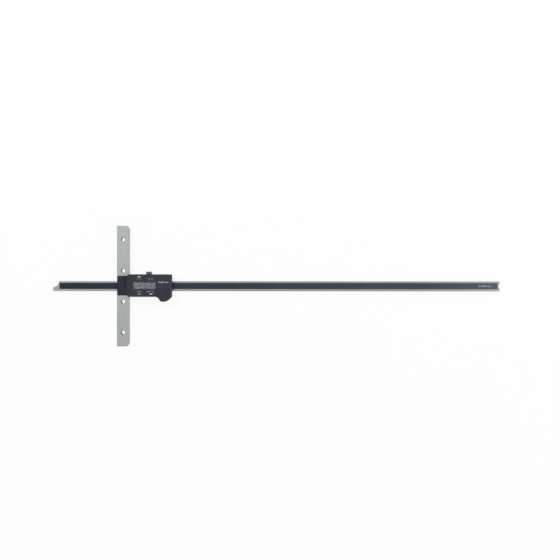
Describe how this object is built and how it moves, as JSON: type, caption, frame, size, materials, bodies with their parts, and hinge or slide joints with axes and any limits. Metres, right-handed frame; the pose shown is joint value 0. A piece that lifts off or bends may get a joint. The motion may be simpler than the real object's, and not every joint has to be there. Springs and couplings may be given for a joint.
{
  "type": "digital depth gauge",
  "caption": "Long digital depth gauge: a flat scale beam sliding through a wide cross base, with a display unit, push buttons and a knurled clamp screw.",
  "frame": {"origin": "on the reference face of the base, on the beam's centre line, level with the base's back", "axes": "+X along the beam, away from the surface being measured; +Y along the base towards the clamp screw; +Z out of the display"},
  "size_m": [0.7228, 0.195, 0.0192],
  "materials": {
    "beam_steel": "fine ground stainless steel",
    "base_steel": "satin ground steel",
    "slider_steel": "satin stainless steel",
    "screw_steel": "turned stainless steel",
    "dark_steel": "blackened, knurled steel",
    "bronze": "machined bronze",
    "laminate": "green circuit laminate",
    "scale_film": "dark satin film",
    "cover_black": "bluish black satin",
    "case_plastic": "fine-textured charcoal plastic",
    "port_plastic": "satin dark grey plastic",
    "clear_lens": "clear acrylic",
    "lcd_grey": "grey liquid-crystal panel",
    "white_plastic": "moulded white plastic",
    "contact_rubber": "layered conductive rubber",
    "chip_resin": "black resin",
    "spring_steel": "nickel-plated spring metal",
    "cell_steel": "bright drawn steel",
    "button_green": "muted green plastic",
    "button_pale": "pale grey plastic"
  },
  "bodies": {
    "slider": {"base": "base_steel", "nose_screws": "screw_steel", "slider_frame": "slider_steel", "rear_plate": "slider_steel", "gib": "bronze", "gib_screws": "screw_steel", "front_cover": "cover_black", "display_case": "case_plastic", "case_screws": "screw_steel", "display_lens": "clear_lens", "display_panel": "lcd_grey", "panel_holder": "white_plastic", "elastomer_strips": "contact_rubber", "main_board": "laminate", "board_screws": "screw_steel", "controller_chip": "chip_resin", "key_switches": "spring_steel", "sensor_spacer": "chip_resin", "sensor_board": "laminate", "battery": "cell_steel", "battery_holder": "white_plastic", "negative_contact": "spring_steel", "positive_contact": "spring_steel", "output_connector": "chip_resin"},
    "beam": {"beam": "beam_steel", "scale_board": "laminate", "scale_film": "scale_film", "stop_pins": "screw_steel"},
    "clamp_shoe": {"clamp_shoe": "bronze"},
    "clamp_screw": {"clamp_screw": "dark_steel"},
    "power_button": {"power_button": "button_green"},
    "zero_button": {"zero_button": "button_pale"},
    "unit_button": {"unit_button": "button_pale"},
    "battery_lid": {"battery_lid": "case_plastic"},
    "port_cover": {"port_cover": "port_plastic"}
  },
  "joints": [
    {"name": "beam_slide", "type": "slide", "parent": "slider", "child": "beam", "axis": [-1, 0, 0], "range_m": [-0.1036, 0.4964]},
    {"name": "clamp_shoe_slide", "type": "slide", "parent": "slider", "child": "clamp_shoe", "axis": [0, -1, 0], "range_m": [0, 0.00035]},
    {"name": "clamp_screw_turn", "type": "hinge", "parent": "clamp_shoe", "child": "clamp_screw", "pos_m": [0.05135, 0.0192, 0.005], "axis": [0, -1, 0], "range_deg": [0, 180]},
    {"name": "power_button_press", "type": "slide", "parent": "slider", "child": "power_button", "axis": [0, 0, -1], "range_m": [0, 0.0004], "stiffness_N_per_m": 600},
    {"name": "zero_button_press", "type": "slide", "parent": "slider", "child": "zero_button", "axis": [0, 0, -1], "range_m": [0, 0.0004], "stiffness_N_per_m": 600},
    {"name": "unit_button_press", "type": "slide", "parent": "slider", "child": "unit_button", "axis": [0, 0, -1], "range_m": [0, 0.0004], "stiffness_N_per_m": 600},
    {"name": "battery_lid_slide", "type": "slide", "parent": "slider", "child": "battery_lid", "axis": [1, 0, 0], "range_m": [0, 0.024]},
    {"name": "port_cover_slide", "type": "slide", "parent": "slider", "child": "port_cover", "axis": [1, 0, 0], "range_m": [0, 0.006]}
  ],
  "couplings": [
    {"joint": "clamp_shoe_slide", "follows": "clamp_screw_turn", "m_per_rad": 0.000095493}
  ]
}
